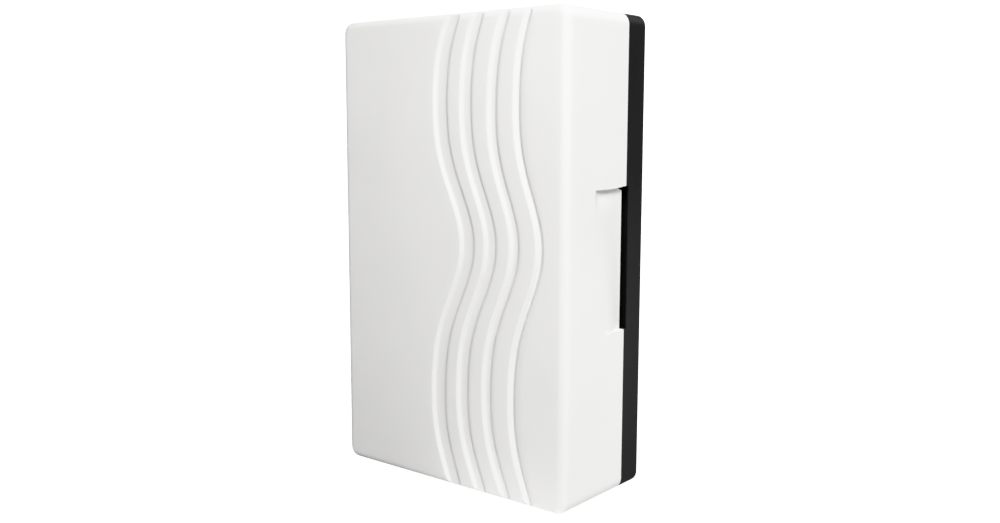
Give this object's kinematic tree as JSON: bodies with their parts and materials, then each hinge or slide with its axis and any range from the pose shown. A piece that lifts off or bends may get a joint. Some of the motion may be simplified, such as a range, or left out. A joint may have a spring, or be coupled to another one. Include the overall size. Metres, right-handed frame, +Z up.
{
  "type": "doorbell chime box",
  "caption": "Wall-hung wired doorbell chime: white moulded cover with wavy front grooves on a black base, with a sprung solenoid striker between a low and a high tone bar.",
  "frame": {"origin": "middle of the back face, on the wall", "axes": "+Z up the wall, +Y into the wall, +X to the right as seen from the front"},
  "size_m": [0.124, 0.055, 0.2],
  "materials": {
    "white_plastic": "fine satin moulded ABS",
    "black_plastic": "fine grained moulded ABS",
    "bar_steel": "ground and nickel plated",
    "grommet_rubber": "dull",
    "zinc_steel": "zinc plated",
    "yoke_steel": "zinc plated sheet",
    "bobbin_nylon": "natural nylon",
    "copper_wire": "enamelled copper",
    "coil_tape": "polyester tape",
    "tinned_pin": "tinned",
    "brass": "drawn brass",
    "core_steel": "turned mild steel",
    "tip_nylon": "natural nylon",
    "spring_steel": "drawn wire",
    "terminal_nylon": "natural nylon",
    "red_lead": "PVC insulation",
    "black_lead": "PVC insulation"
  },
  "bodies": {
    "chime_base": {"base": "black_plastic", "low_tone_bar": "bar_steel", "high_tone_bar": "bar_steel", "low_bar_grommets": "grommet_rubber", "high_bar_grommets": "grommet_rubber", "bar_washers": "zinc_steel", "bar_screws": "zinc_steel", "solenoid_frame": "yoke_steel", "frame_screws": "zinc_steel", "coil_bobbin": "bobbin_nylon", "coil_winding": "copper_wire", "coil_tape": "coil_tape", "coil_pins": "tinned_pin", "guide_sleeve": "brass", "return_spring": "spring_steel", "terminal_block": "terminal_nylon", "block_screw": "zinc_steel", "terminal_cages": "brass", "terminal_screws": "zinc_steel", "coil_lead_a": "red_lead", "coil_lead_b": "black_lead"},
    "chime_cover": {"cover": "white_plastic"},
    "striker": {"plunger_core": "core_steel", "dong_tip": "tip_nylon", "ding_tip": "tip_nylon"}
  },
  "joints": [
    {"name": "cover_pull", "type": "slide", "parent": "chime_base", "child": "chime_cover", "axis": [0, -1, 0], "range_m": [0, 0.075]},
    {"name": "striker_slide", "type": "slide", "parent": "chime_base", "child": "striker", "axis": [1, 0, 0], "range_m": [-0.003, 0.008], "stiffness_N_per_m": 120, "deforming": ["return_spring"]}
  ]
}
